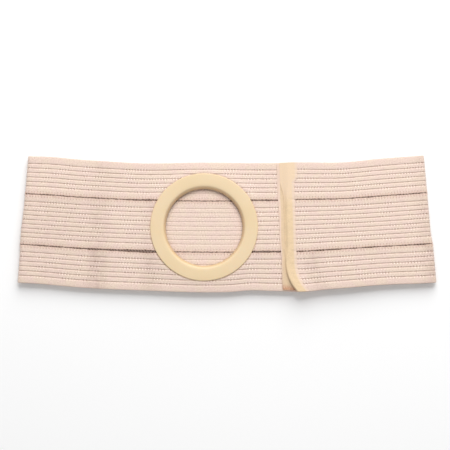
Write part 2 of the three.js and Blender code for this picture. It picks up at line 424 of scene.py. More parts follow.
# %% [markdown]
# ## The elastic
#
# Ribbed elastic is knitted: plump cords of fine loops run along it, with a narrow channel between
# each two. The channels are in the mesh. The material adds what is smaller than a mesh should be:
# the crosswise threads, the small zigzag of the loops that border each channel with a painted
# highlight on them, painted shade down in the channels, a faint mottling, and painted shade in a
# few soft bands across the belt, where it looks creased and near the folds. Along each seam it
# paints shade into each needle hole and along each web's edge, where the open seam would look dark;
# this shade is uneven, wider in random patches.
# A photograph could be projected instead, but nodes stay sharp at any distance. The pattern follows
# the cloth's own UV maps, which are in millimetres, so it bends round the folds.

# %% Name the stitch sizes, in millimetres of cloth
STITCH = 2.95  # length of one zigzag
STITCH_START = 4.0
STITCH_REACH = 2.7  # how far the zigzag goes to each side of its seam
SLIT = 0.42  # open width of a seam far from the ring
LOOP = 2.9  # length of one loop of the small zigzag beside each channel
THREAD_PITCH = 0.75  # spacing of the fine crosswise threads
EDGE_REACH = 0.5  # a seam's painted edge shade is this wide beside a needle hole,
EDGE_OPENED = 0.38  # wider by this share of the seam's gape,
EDGE_BETWEEN = -0.15  # narrower for each millimetre from the hole,
SHADE_PATCH_WIDENING = 0.4  # wider by this in random patches
EDGE_LEAST = 0.2  # and never narrower than this
HOLE_CORE = 0.2  # a needle hole's painted shade is dark up to this distance
HOLE_RIM = 0.55  # and gone at this one
SHADE_BANDS = (  # painted shade bands: place along the cloth, reach, shade on the lower, middle and upper web
    (172, 16, 0.1, 0.05, 0.0),
    (225, 17, 0.16, 0.08, 0.05),
    (272, 70, 0.03, 0.05, 0.0),
    (709, 24, 0.2, 0.13, 0.1),
    (829, 14, 0.09, 0.0, 0.0),
)

# %% Make the marks of seams and creases


def seam_marks(tree, length, from_seam, opening, pull, phase):
    """Painted shade at a seam's edge, widest beside each needle hole, and painted shade in each needle
    hole of the row.
    """
    turn = times_plus(tree, length, 1 / STITCH, phase - STITCH_START / STITCH)
    beside = times(tree, maths(tree, "PINGPONG", turn, 0.5), STITCH)
    reach = times_plus(tree, opening, EDGE_OPENED, EDGE_REACH)
    reach = times_plus(tree, beside, EDGE_BETWEEN, reach)
    reach = maths(tree, "MAXIMUM", times_plus(tree, pull, SHADE_PATCH_WIDENING, reach), EDGE_LEAST)
    edge = fade(tree, from_seam, times(tree, reach, 0.5), reach)
    past = maths(tree, "SUBTRACT", from_seam, STITCH_REACH - SLIT / 2)
    squares = maths(tree, "ADD", maths(tree, "POWER", beside, 2.0), maths(tree, "POWER", past, 2.0))
    return edge, fade(tree, maths(tree, "SQRT", squares), HOLE_CORE, HOLE_RIM)


def painted_shade_bands(tree, length, across, patchy):
    """Painted shade in soft bands across the cloth, where it looks creased and near the folds."""
    in_lower = fade(tree, across, LOWER_SEAM / MM - 1, LOWER_SEAM / MM + 1)
    in_upper = ramp(tree, across, UPPER_SEAM / MM - 1, UPPER_SEAM / MM + 1)
    total = 0.0
    for place, reach, lower, middle, upper in SHADE_BANDS:
        away = maths(tree, "ABSOLUTE", maths(tree, "SUBTRACT", length, place))
        share = times_plus(tree, in_lower, lower - middle, middle)
        share = times_plus(tree, in_upper, upper - middle, share)
        total = times_plus(tree, fade(tree, away, 0.0, reach), share, total)
    return times(tree, total, times_plus(tree, patchy, 0.8, 0.6))


# %% Make the elastic's pattern of loops


def on_back_layer(tree, length):
    """1 on the back layer, 0 on the others, with a soft change in the folds."""
    first, last = LENGTH[BACK_START] / MM, LENGTH[BACK_END - 1] / MM
    after_start = ramp(tree, length, first - 4, first + 4)
    return times(tree, after_start, ramp(tree, length, last + 4, last - 4))


def knitted_pattern(tree, ribs, rib, length, on_back):
    """The channels between the ribs, the loops beside them that carry a painted highlight, and a
    patchy share for the channels' painted shade.
    """
    stretched = add_node(tree, "ShaderNodeVectorMath", {"operation": "MULTIPLY"})
    tree.links.new(ribs, stretched.inputs[0])
    stretched.inputs[1].default_value = (4.0, 1.0, 1.0)
    by_rib = stretched.outputs["Vector"]
    strength = ramp(tree, noise(tree, by_rib, 0.55, 1.0), 0.48, 0.6)
    strength = times(tree, strength, times_plus(tree, on_back, -0.65, 1.0))
    wiggle = times_plus(tree, maths(tree, "PINGPONG", length, LOOP / 2), 4 / LOOP, -1.0)
    shift = times(tree, times(tree, wiggle, strength), 0.1)
    off_channel = maths(tree, "PINGPONG", maths(tree, "ADD", rib, shift), 0.5)
    channel = fade(tree, off_channel, 0.05, 0.15)
    near = fade(tree, off_channel, 0.22, 0.36)
    beside_channel = times(tree, ramp(tree, off_channel, 0.1, 0.18), near)
    which_rib = maths(tree, "FLOOR", maths(tree, "ADD", rib, 0.5))
    start = times(tree, which_rib, 2.4)
    dots = maths(tree, "SINE", times_plus(tree, length, 2 * math.pi / LOOP, start))
    dots = times(tree, dots, strength)
    depth = ramp(tree, noise(tree, by_rib, 1.1, 1.0), 0.3, 0.65)
    return channel, beside_channel, dots, depth


# %% Make the elastic


def make_elastic():
    material, tree, shader = new_material("ribbed_elastic")
    cloth, length, across = uv_sides(tree, "cloth")
    ribs, _, rib = uv_sides(tree, "ribs")
    _, from_below, from_above = uv_sides(tree, "seams")
    _, gape_below, gape_above = uv_sides(tree, "openings")
    on_back = on_back_layer(tree, length)
    channel, beside_channel, dots, depth = knitted_pattern(tree, ribs, rib, length, on_back)
    loops = times(tree, dots, beside_channel)

    # random patches where the painted seam shade is wider
    pull = ramp(tree, noise(tree, cloth, 0.38, 1.0), 0.42, 0.6)
    # painted shade along each seam's edge and in its row of needle marks
    low_seam_shade, low_holes_and_shade = seam_marks(tree, length, from_below, gape_below, pull, 0.5)
    high_seam_shade, high_holes_and_shade = seam_marks(tree, length, from_above, gape_above, pull, 0.0)
    edge = maths(tree, "MAXIMUM", low_seam_shade, high_seam_shade)
    holes_and_shade = maths(tree, "MAXIMUM", low_holes_and_shade, high_holes_and_shade)

    tone = ramp(tree, noise(tree, cloth, 0.09, 3.0), 0.38, 0.62)
    base = mix_colours(tree, tone, colour(229, 204, 192), colour(229, 208, 190))
    speck = noise(tree, cloth, 0.8, 3.0, Roughness=0.7)
    base = mix_colours(tree, ramp(tree, speck, 0.5, 0.68), base, colour(245, 222, 208))
    base = mix_colours(tree, ramp(tree, speck, 0.46, 0.32), base, colour(212, 184, 170))
    # painted highlight along the ribs beside each channel and on the loops
    painted_ridge_highlight = times_plus(tree, beside_channel, 0.22, times(tree, loops, 0.8))
    base = mix_colours(tree, maths(tree, "MAXIMUM", painted_ridge_highlight, 0.0), base, colour(255, 240, 228))
    # painted shade down in the channels, paler on the shallower back layer
    painted_channel_shade = times_plus(tree, dots, -0.4, times_plus(tree, depth, 0.3, 0.18))
    paler_back = times_plus(tree, on_back, -0.45, 1.0)
    painted_channel_shade = times(tree, maths(tree, "MAXIMUM", painted_channel_shade, 0.0), paler_back)
    base = mix_colours(tree, times(tree, channel, painted_channel_shade), base, colour(168, 131, 113))
    # painted shade in soft bands across the belt
    painted_band_shade = painted_shade_bands(tree, length, across, depth)
    base = mix_colours(tree, painted_band_shade, base, colour(118, 84, 66))
    # painted shade in the needle hole rows, and darker painted shade along each web's edge at the
    # seams, where the open seam would look dark
    base = mix_colours(tree, times(tree, holes_and_shade, 0.6), base, colour(140, 102, 80))
    base = mix_colours(tree, times(tree, edge, 0.97), base, colour(84, 36, 10))

    threads = maths(tree, "SINE", times(tree, length, 2 * math.pi / THREAD_PITCH))
    knit = times(tree, threads, maths(tree, "SUBTRACT", 1.0, channel))
    relief = times_plus(tree, knit, 0.16, noise(tree, cloth, 3.2, 4.0))
    relief = times_plus(tree, loops, 0.6, relief)
    relief = times_plus(tree, maths(tree, "MAXIMUM", channel, holes_and_shade), -1.2, relief)
    sockets = {"Roughness": 0.88, "Specular_IOR_Level": 0.25, "Sheen_Weight": 0.15}
    give_finish(tree, shader, base, relief, 0.6, 0.24 * MM, Sheen_Roughness=0.5, **sockets)
    return material


elastic = make_elastic()
print("made", elastic.name)

# %% [markdown]
# ## One web of elastic
#
# A web starts as a flat grid with one column of points for each line of its cross-section: five
# across each channel, two on each rib, and some on the plain bands along its edges. The grid's
# points are then moved on to the loop's path. Solidify gives it its wall, thinner where a vertex
# group says so, which presses the channels into both faces at once and rounds the edges. Where a
# seam gapes, the web's edge moves away by part of the gape, and the dark edge shade stands for the
# rest. The hole for the ring is cut last, with a boolean, as a die would punch it.

# %% Describe a web's cross-section
CHANNEL_PROFILE = (  # offset from the channel's middle, share of the wall left there
    (-0.5 * MM, 0.97),
    (-0.2 * MM, 0.7),
    (0.0, 0.55),
    (0.2 * MM, 0.7),
    (0.5 * MM, 0.97),
)
EDGE_PROFILE = (  # distance in from the edge, share of the wall left there
    (0.0, 0.5),
    (0.25 * MM, 0.78),
    (0.8 * MM, 0.96),
    (3.0 * MM, 1.0),
    (5.2 * MM, 1.0),
)
NO_SEAM = 99 * MM  # stands for the distance to a seam that a web's edge doesn't have


def web_columns(low, high):
    """Places across one web, with the wall's share and the rib count at each."""
    ribbed = high - low - 2 * PLAIN_EDGE
    ribs = round(ribbed / RIB_PITCH)
    pitch = ribbed / ribs
    first = low + PLAIN_EDGE
    columns = [(low + inset, share) for inset, share in EDGE_PROFILE]
    for k in range(ribs + 1):
        columns += [(first + k * pitch + offset, share) for offset, share in CHANNEL_PROFILE]
        if k < ribs:
            columns += [(first + (k + part) * pitch, 1.0) for part in (1 / 3, 2 / 3)]
    columns += [(high - inset, share) for inset, share in reversed(EDGE_PROFILE)]
    across, wall = (np.array(column) for column in zip(*columns))
    count = np.clip((across - first) / pitch, -0.5, ribs + 0.5)
    return across, wall, count


GAPES = {  # for each seam: its gape far away, more at the ring, that one's reach, more at the left
    UPPER_SEAM: (-0.28, 0.5, 70 * MM, 0.0),
    LOWER_SEAM: (-0.15, 0.8, 90 * MM, 1.0),
}
RIM_GAPE = 0.7  # the rim pulls both seams open by this much more,
RIM_GAPE_AWAY = 50 * MM  # at this distance from the ring's middle
RIM_GAPE_REACH = 16 * MM
LEFT_GAPE_ALONG = -85 * MM
LEFT_GAPE_REACH = 40 * MM
GAPE_UNEVEN = 0.25
GAPE_LEAST = 0.1 - SLIT
BACK_GAPE = -0.25 * MM  # the slack back layer's seams lie nearly closed
GAPE_MOVED = 0.4  # the web's edge moves by this share of its half of the gape


def gape(along, seam):
    """How much wider than usual a seam opens, in the front layer and beside the ring above all."""
    away = np.abs(along - RING_ALONG)
    usual, most, reach, at_left = GAPES[seam]
    uneven = np.sin(along / (2.7 * MM) + seam / (9 * MM)) + np.sin(along / (7.3 * MM))
    front = usual + most * hump(away, 0, reach)
    front = front + RIM_GAPE * hump(away, RIM_GAPE_AWAY, RIM_GAPE_REACH)
    front = front + at_left * hump(along, LEFT_GAPE_ALONG, LEFT_GAPE_REACH)
    return np.maximum(front + GAPE_UNEVEN * uneven, GAPE_LEAST) * MM


def pulled_open(inset):
    """Share of a seam's gape by which cloth at this distance from the seam moves away."""
    return GAPE_MOVED * np.clip(1 - inset / PLAIN_EDGE, 0, 1) / 2


# %% Make helpers for meshes
def set_uv(piece, name, u, v):
    mesh = piece.data
    layer = mesh.uv_layers.new(name=name)
    corner = np.empty(len(mesh.loops), int)
    mesh.loops.foreach_get("vertex_index", corner)
    sides = np.stack([u, v], axis=1)
    layer.data.foreach_set("uv", sides[corner].astype(np.float32).ravel())


def deselect_all():
    bpy.ops.object.select_all(action="DESELECT")


def use_only(piece):
    deselect_all()
    piece.select_set(True)
    bpy.context.view_layer.objects.active = piece


def grid_of_points(name, points):
    """A sheet whose points are given as rows and columns."""
    rows, columns = points.shape[:2]
    deselect_all()
    bpy.ops.mesh.primitive_grid_add(
        x_subdivisions=columns - 1, y_subdivisions=rows - 1, size=1, calc_uvs=False
    )
    sheet = bpy.context.object
    sheet.name = name
    sheet.data.name = name
    place = np.empty(rows * columns * 3)
    sheet.data.vertices.foreach_get("co", place)
    place = place.reshape(-1, 3)
    column = np.rint((place[:, 0] + 0.5) * (columns - 1)).astype(int)
    row = np.rint((place[:, 1] + 0.5) * (rows - 1)).astype(int)
    sheet.data.vertices.foreach_set("co", points[row, column].ravel())
    sheet.data.update()
    return sheet, row, column


def apply_modifier(piece, kind, **settings):
    use_only(piece)
    modifier = piece.modifiers.new(kind, kind)
    for key, value in settings.items():
        setattr(modifier, key, value)
    bpy.ops.object.modifier_apply(modifier=kind)


def give_wall(sheet, thickness, wall):
    """Turn a sheet into a closed solid. wall is each point's share of the thickness."""
    group = sheet.vertex_groups.new(name="wall")
    for share in np.unique(wall):
        group.add(np.flatnonzero(wall == share).tolist(), float(share), "REPLACE")
    settings = {"offset": 0, "use_even_offset": False, "thickness_vertex_group": 0}
    apply_modifier(sheet, "SOLIDIFY", thickness=thickness, vertex_group="wall", **settings)


def faces_out(piece):
    use_only(piece)
    bpy.ops.object.mode_set(mode="EDIT")
    bpy.ops.mesh.select_all(action="SELECT")
    bpy.ops.mesh.remove_doubles(threshold=0.001 * MM)
    bpy.ops.mesh.normals_make_consistent(inside=False)
    bpy.ops.object.mode_set(mode="OBJECT")


def finish_piece(piece, material, node=None, smooth_below=50):
    """Shade a piece, give it its material, hide the solid that it stands for and attach it to the root
    body.
    """
    use_only(piece)
    bpy.ops.object.shade_smooth_by_angle(angle=math.radians(smooth_below))
    piece.data.materials.clear()
    piece.data.materials.append(material)
    if node:
        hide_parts(node)
    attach(piece, "root")
    print(piece.name, "faces:", len(piece.data.polygons))


# %% Make one web
BACK_RELIEF = 0.5  # the slack back layer's channels are this much shallower


def make_web(name, low, high, seam_below, seam_above):
    across, wall, rib_count = web_columns(low, high)
    points, along, _ = loop_surface(across)
    middle_along = along[:, len(across) // 2]
    side = np.zeros(along.shape)
    openings = np.zeros((2, len(LENGTH)))
    insets = [NO_SEAM + 0 * across, NO_SEAM + 0 * across]
    edges = ((seam_below, across - low, 1), (seam_above, high - across, -1))
    for k, (seam, inset, way) in enumerate(edges):
        if seam is not None:
            openings[k] = gape(middle_along, seam) * (ON_FRONT + ON_UPPER) + BACK_GAPE * ON_BACK
            side += way * np.outer(openings[k], pulled_open(inset))
            insets[k] = inset
    points = points + side[..., None] * np.array([0, 1, 0])

    web, row, column = grid_of_points(name, points)
    set_uv(web, "cloth", LENGTH[row] / MM, across[column] / MM)
    set_uv(web, "ribs", LENGTH[row] / (30 * MM), rib_count[column])
    set_uv(web, "seams", *(inset[column] / MM for inset in insets))
    set_uv(web, "openings", *(openings[:, row] / MM))
    flatter = np.where(ON_BACK[row] > 0, BACK_RELIEF, 1.0)
    give_wall(web, WALL, 1 - (1 - wall[column]) * flatter)
    return web


def cut_hole(web):
    """Punch the ring's hole through the front layer only."""
    deselect_all()
    bpy.ops.mesh.primitive_cylinder_add(
        vertices=128,
        radius=HOLE_RADIUS,
        depth=1.3 * WALL,
        location=on_table(RING_ALONG, 0.0, FRONT_HEIGHT),
    )
    die = bpy.context.object
    bpy.ops.object.transform_apply(location=True, rotation=True, scale=True)
    apply_modifier(web, "BOOLEAN", operation="DIFFERENCE", object=die, solver="EXACT")
    bpy.data.objects.remove(die)
    faces_out(web)


# %% Make the three webs and cut the ring's hole
half_slit = SLIT / 2 * MM
top_web = make_web("top_web", UPPER_SEAM + half_slit, HALF_WIDTH, UPPER_SEAM, None)
middle_web = make_web(
    "middle_web", LOWER_SEAM + half_slit, UPPER_SEAM - half_slit, LOWER_SEAM, UPPER_SEAM
)
bottom_web = make_web("bottom_web", -HALF_WIDTH, LOWER_SEAM - half_slit, None, LOWER_SEAM)
for web in (top_web, middle_web, bottom_web):
    cut_hole(web)

use_only(middle_web)
bpy.ops.mesh.separate(type="LOOSE")
parts = sorted(bpy.context.selected_objects, key=lambda o: len(o.data.vertices))
short_web, middle_web = parts[0], parts[-1]
short_web.name = "middle_web_short"
middle_web.name = "middle_web"
print("middle web's parts:", len(parts))

finish_piece(top_web, elastic, "top_strip")
finish_piece(middle_web, elastic, "middle_strip")
finish_piece(short_web, elastic, "middle_strip_short")
finish_piece(bottom_web, elastic, "bottom_strip")

# %% [markdown]
# Each web is a sheet of cloth, its own width by the whole length of the loop; the middle web's
# short stretch runs from the ring to the covered end.

# %% [markdown]
# ## The ring
#
# The ring is moulded in satin plastic. Its section is a flat flange with a rounded rim. Towards the
# opening it falls in a soft lip to a steep cone, whose foot goes down through the elastic. A torus
# would be too round, so the section's outline is drawn and spun round the ring's middle, as a mould
# swells up round it. A little light passes through the plastic, which warms its shaded inner wall,
# and the cone is painted a little darker and more amber than the polished face, as painted shade.

# %% Make the ring's plastic
CONE_TOP = FRONT_TOP + GAP + RING_THICKNESS - RING_LIP_DROP - RING_EDGE_DROP


def make_plastic():
    material, tree, shader = new_material("ring_plastic")
    where = add_node(tree, "ShaderNodeTexCoord").outputs["Object"]
    share = ramp(tree, noise(tree, where, 28.0, 2.0), 0.35, 0.65)
    tone = mix_colours(tree, share, colour(228, 204, 164), colour(230, 206, 169))
    height = add_node(tree, "ShaderNodeSeparateXYZ", Vector=where).outputs["Z"]
    # painted shade: the cone below the lip is a little darker and more amber
    painted_cone_shade = fade(tree, height, CONE_TOP - 1.2 * MM, CONE_TOP)
    tone = mix_colours(tree, painted_cone_shade, tone, colour(223, 194, 153))
    grain = noise(tree, where, 2600.0, 2.0)
    rough = times_plus(tree, ramp(tree, grain, 0.3, 0.7), 0.08, 0.4)
    sockets = {"Roughness": rough, "Specular_IOR_Level": 0.45, "Subsurface_Weight": 0.12}
    give_finish(tree, shader, tone, grain, 0.12, 0.05 * MM, **sockets)
    shader.inputs["Subsurface Radius"].default_value = (1.0, 0.6, 0.35)
    shader.inputs["Subsurface Scale"].default_value = 1.5 * MM
    return material


# %% Draw the ring's section
RIM_WIDTH = 0.9 * MM  # the flange's outer edge is rounded over this width
RIM_DROP = 0.9 * MM  # and this height
RIM_UNDERCUT = 1.5 * MM  # its underside curves up to the rim, where the elastic swells up
RING_SIDES = 192


def ring_section():
    """Outline of the section, as radii and heights, from the neck's foot round to it again."""
    foot = FRONT_HEIGHT - WALL / 2
    under = FRONT_TOP + 0.1 * MM
    top = FRONT_TOP + GAP + RING_THICKNESS
    away = np.array([0, 0.15, 0.35, 0.6, 1.0, 1.6, 2.4, 3.4, 4.8, 8.2]) * MM
    fall = RING_LIP_DROP * np.exp(-away / RING_LIP_FADE)
    fall = fall + RING_EDGE_DROP * np.exp(-away / RING_EDGE_FADE)
    lip = (RING_LIP_RADIUS + away, top - fall)
    turn = np.radians(np.linspace(90, 0, 9))
    rim_start = RING_OUTER_RADIUS - RIM_WIDTH
    rim = (rim_start + RIM_WIDTH * np.cos(turn), top - RIM_DROP * (1 - np.sin(turn)))
    below = np.radians(np.linspace(0, 90, 7))
    curve = (
        RING_OUTER_RADIUS - RIM_UNDERCUT * (1 - np.cos(below)),
        under + RIM_UNDERCUT * (1 - np.sin(below)),
    )
    return np.concatenate(
        [
            [(RING_FOOT_RADIUS + 0.1 * MM, foot), (RING_FOOT_RADIUS, foot + 0.25 * MM)],
            np.stack(lip, axis=1),
            np.stack(rim, axis=1),
            np.stack(curve, axis=1),
            [(RING_NECK_RADIUS + 0.2 * MM, under)],
            [(RING_NECK_RADIUS, under - 0.2 * MM), (RING_NECK_RADIUS - 0.2 * MM, foot)],
        ]
    )


# %% Spin the ring
def make_ring():
    section = ring_section()
    centre = on_table(RING_ALONG, 0.0, 0.0)
    deselect_all()
    bpy.ops.mesh.primitive_circle_add(vertices=len(section), radius=1, calc_uvs=False)
    ring = bpy.context.object
    ring.name = "ring_moulding"
    ring.data.name = ring.name
    for point, (radius, height) in zip(ring.data.vertices, section):
        point.co = (centre[0] + radius, centre[1], height)
    use_only(ring)
    bpy.ops.object.mode_set(mode="EDIT")
    bpy.ops.mesh.select_all(action="SELECT")
    bpy.ops.mesh.spin(
        steps=RING_SIDES, angle=2 * math.pi, center=(centre[0], centre[1], 0), axis=(0, 0, 1)
    )
    bpy.ops.object.mode_set(mode="OBJECT")
    faces_out(ring)
    finish_piece(ring, make_plastic(), "stoma_ring", 60)


make_ring()

# %% [markdown]
# ## The closure's tapes
#
# Two tapes finish the upper end. The hook tape lies flat on the covered end and shows as a light
# strip with a paler, stitched margin. The binding is folded over the end: it slopes down on to the
# hook tape, sharply at the curled lower corner and gently further up, and lets the ribs below it
# show faintly. Both are sheets that follow the same path functions as the webs, with their own
# small dents. The hook tape's edge is pressed thin towards the belt's top. Their material is a
# close weave, with the tape's tone turning paler at its margin, and with painted shade over the
# hook tape's lower end, under the binding's lifted corner.

# %% Make the tapes' materials


def make_tape_cloth(name, main, margin, margin_width, lean, end_tone_and_shade, end_from, end_to, weave):
    """Close woven tape: fine threads both ways, another tone along one edge, and at one end a given
    colour, painted shade on the hook tape.
    """
    material, tree, shader = new_material(name)
    cloth, width, height = uv_sides(tree, "cloth")
    inward = times_plus(tree, height, -lean, width)
    edge = fade(tree, inward, margin_width * 0.6, margin_width * 1.3)
    shade = [c * 0.92 for c in main[:3]] + [1]
    base = mix_colours(tree, ramp(tree, noise(tree, cloth, 0.16, 3.0), 0.35, 0.7), main, shade)
    base = mix_colours(tree, ramp(tree, height, end_from, end_to), base, end_tone_and_shade)
    base = mix_colours(tree, edge, base, margin)
    light = [min(1, c * 1.12) for c in main[:3]] + [1]
    base = mix_colours(tree, ramp(tree, noise(tree, cloth, 1.2, 2.0), 0.5, 0.7), base, light)
    warp = maths(tree, "SINE", times(tree, width, 2 * math.pi / weave))
    weft = maths(tree, "SINE", times(tree, height, 2 * math.pi / weave))
    crossings = times(tree, warp, weft)
    relief = times_plus(tree, crossings, 0.35, noise(tree, cloth, 2.5, 3.0))
    sockets = {"Roughness": 0.8, "Specular_IOR_Level": 0.3, "Sheen_Weight": 0.15}
    give_finish(tree, shader, base, relief, 0.4, 0.12 * MM, **sockets)
    return material


hook_cloth = make_tape_cloth(
    "hook_tape_cloth",
    main=colour(224, 198, 165),
    margin=colour(236, 212, 197),
    margin_width=1.6,
    lean=HOOK_TAPE_SKEW,
    # painted shade over the tape's lower end, under the binding's lifted corner
    end_tone_and_shade=colour(196, 148, 118),
    end_from=-55,
    end_to=-61.5,
    weave=0.9,
)
binding_cloth = make_tape_cloth(
    "binding_cloth",
    main=colour(230, 203, 166),
    margin=colour(230, 206, 188),
    margin_width=2.6,
    lean=0,
    end_tone_and_shade=colour(232, 206, 177),
    end_from=18,
    end_to=34,
    weave=0.6,
)

# %% Lay the hook tape
TAPE_LOWER_EDGE = -62.2 * MM
TAPE_UPPER_EDGE = 63.0 * MM
TAPE_WANDER = 0.25 * MM
TAPE_ROUNDING = 0.12 * MM
TAPE_THINNED = 0.75  # share of the tape's wall that is pressed away at its outer edge,
TAPE_THIN_START = 16 * MM  # starting at this height up the belt,
TAPE_THIN_CHANGE = 18 * MM  # growing over this width
TAPE_THIN_REACH = 2.4 * MM  # and fading over this one in from the edge


def tape_edge(across):
    """Place along the belt of the hook tape's outer edge, which isn't quite straight."""
    return HOOK_TAPE_EDGE - HOOK_TAPE_SKEW * across + TAPE_WANDER * np.sin(across / (7 * MM))


def tape_wall(across, inward):
    """Thickness of the hook tape: its outer edge is pressed thin towards the belt's top."""
    thinner = TAPE_THINNED * smooth((across - TAPE_THIN_START) / TAPE_THIN_CHANGE)
    return HOOK_TAPE_THICKNESS * (1 - thinner * np.clip(1 - inward / TAPE_THIN_REACH, 0, 1))


def make_hook_tape():
    columns, rows = 48, 140
    inward = np.linspace(0, HOOK_TAPE_WIDTH, columns)[None, :]
    across = np.linspace(TAPE_LOWER_EDGE, TAPE_UPPER_EDGE, rows)[:, None]
    along = tape_edge(across) + inward
    wall = tape_wall(across, inward)
    height = TAPE_BASE + wall / 2 + wavy(along, across)
    tape, row, column = grid_of_points("hook_tape_piece", on_table(along, across, height))
    set_uv(tape, "cloth", inward[0, column] / MM, across[row, 0] / MM)
    share = np.round(wall / HOOK_TAPE_THICKNESS, 2)
    give_wall(tape, HOOK_TAPE_THICKNESS, share[row, column])
    apply_modifier(tape, "BEVEL", width=TAPE_ROUNDING, segments=2, limit_method="ANGLE")
    finish_piece(tape, hook_cloth, "hook_tape")
    return tape


hook_tape = make_hook_tape()

# %% Fold the binding over the end
CLEAR = 0.1 * MM  # room between the binding and what it lies on
BINDING_EDGE_WALL = (0.25, 0.45, 0.65, 0.85)  # share of the wall at its inner edge's columns
SEAM_DENT, SEAM_DENT_REACH = 0.3 * MM, 1.3 * MM
RIB_DENT, RIB_DENT_REACH = 0.15 * MM, 0.6 * MM
DENT_START, DENT_CHANGE = 1 * MM, 5 * MM  # the dents begin where the tape leaves its slope
TOP_WIDENING = 3.4 * MM  # the tape spreads this much more near the belt's top edge
TOP_WIDENING_START = 43 * MM
TOP_WIDENING_LENGTH = 6 * MM


def binding_width(across):
    spread = TOP_WIDENING * smooth((across - TOP_WIDENING_START) / TOP_WIDENING_LENGTH)
    return BINDING_WIDTH + top_reach(across) + spread


def channel_places():
    """Where every channel and both seams lie across the belt."""
    seams = (-HALF_WIDTH, LOWER_SEAM, UPPER_SEAM, HALF_WIDTH)
    places = []
    for low, high in zip(seams, seams[1:]):
        ribbed = high - low - 2 * PLAIN_EDGE
        ribs = round(ribbed / RIB_PITCH)
        places += [low + PLAIN_EDGE + k * ribbed / ribs for k in range(ribs + 1)]
    return places


def make_binding():
    rows, flat_columns, slope_columns = 260, 16, 16
    half = BINDING_THICKNESS / 2
    across = np.linspace(-HALF_WIDTH + GAP, HALF_WIDTH - GAP, rows)[:, None]
    edge = end_edge(across) + half
    slope = end_slope(across)
    top = UPPER_TOP + CLEAR + half
    fall = top - (TAPE_BASE + HOOK_TAPE_THICKNESS + CLEAR + half)

    share = np.linspace(1, 0, flat_columns)[None, :]
    flat_along = edge + slope + share * (binding_width(across) - half - slope)
    turn = np.linspace(0, math.pi / 2, slope_columns + 1)[None, 1:]
    down = np.sin(turn)
    slope_along = edge + slope * (1 - down)
    slope_drop = fall * lerp(1 - np.cos(turn), smooth(down), gentle(across))
    along = np.concatenate([flat_along, slope_along], axis=1)
    drop = np.concatenate([0 * flat_along, slope_drop], axis=1)

    dents = SEAM_DENT * sum(hump(across, seam, SEAM_DENT_REACH) for seam in (UPPER_SEAM, LOWER_SEAM))
    for place in channel_places():
        dents = dents + RIB_DENT * hump(across, place, RIB_DENT_REACH)
    over_web = smooth((along - edge - slope - DENT_START) / DENT_CHANGE)
    height = top - drop + corner_lift(along, across) - dents * over_web

    binding, row, column = grid_of_points("binding_piece", on_table(along, across, height))
    steps = np.hypot(np.diff(along, axis=1), np.diff(drop, axis=1))
    reach = np.concatenate([0 * across, np.cumsum(steps, axis=1)], axis=1)
    set_uv(binding, "cloth", reach[row, column] / MM, across[row, 0] / MM)
    wall = np.ones(along.shape[1])
    wall[: len(BINDING_EDGE_WALL)] = BINDING_EDGE_WALL
    give_wall(binding, BINDING_THICKNESS, wall[column])
    faces_out(binding)
    finish_piece(binding, binding_cloth, "end_binding")
    return binding, float(reach[rows // 2, -1])


end_binding, binding_cut = make_binding()

# %% [markdown]
# ## The stitching
#
# A zigzag stitch joins the webs. Its thread crosses the open seam from one plain band to the other
# and dives into the cloth at each turn. A straight row of stitches holds the hook tape's margin.
# Hundreds of stitches are too many to model by hand, so code lays each thread's path on the cloth
# and wraps a round tube about it.

# %% Make the sewing thread


def make_thread():
    material, tree, shader = new_material("sewing_thread")
    where = add_node(tree, "ShaderNodeTexCoord").outputs["Object"]
    twist = noise(tree, where, 900.0, 1.0)
    tone = mix_colours(tree, twist, colour(242, 216, 200), colour(222, 190, 172))
    give_finish(tree, shader, tone, twist, 0.5, 0.06 * MM, Roughness=0.65, Sheen_Weight=0.2)
    return material


thread = make_thread()

# %% Make helpers for threads
THREAD_RADIUS = 0.17 * MM
THREAD_SIDES = 5


def thread_tube(path):
    """A round thread along a list of points, closed at both ends: its points and faces."""
    forward = np.gradient(path, axis=0)
    side = np.cross(forward, [0.0, 0.0, 1.0])
    side /= np.maximum(np.linalg.norm(side, axis=1), 1e-9)[:, None]
    up = np.cross(side, forward)
    up /= np.maximum(np.linalg.norm(up, axis=1), 1e-9)[:, None]
    turn = np.linspace(0, 2 * math.pi, THREAD_SIDES, endpoint=False)[None, :, None]
    rings = path[:, None] + THREAD_RADIUS * (np.cos(turn) * side[:, None] + np.sin(turn) * up[:, None])
    first = np.arange(len(path) - 1)[:, None] * THREAD_SIDES
    step = np.arange(THREAD_SIDES)[None, :]
    after = (step + 1) % THREAD_SIDES
    corners = (first + step, first + after, first + THREAD_SIDES + after, first + THREAD_SIDES + step)
    faces = np.stack(corners, axis=-1).reshape(-1, 4).tolist()
    last = (len(path) - 1) * THREAD_SIDES
    faces.append(list(range(THREAD_SIDES))[::-1])
    faces.append([last + k for k in range(THREAD_SIDES)])
    return rings.reshape(-1, 3), faces


def sew(name, paths):
    """One piece from several threads."""
    points, faces, count = [], [], 0
    for path in paths:
        tube_points, tube_faces = thread_tube(path)
        points.append(tube_points)
        faces += [[count + corner for corner in face] for face in tube_faces]
        count += len(tube_points)
    mesh = bpy.data.meshes.new(name)
    mesh.from_pydata(np.concatenate(points).tolist(), [], faces)
    piece = bpy.data.objects.new(name, mesh)
    bpy.context.scene.collection.objects.link(piece)
    faces_out(piece)
    finish_piece(piece, thread, None, 60)


def visible_runs(path, visible):
    """Split a path where it passes under something."""
    runs, run = [], []
    for point, shown in zip(path, visible):
        if shown:
            run.append(point)
        else:
            runs.append(run)
            run = []
    return [np.array(r) for r in runs + [run] if len(r) > 3]


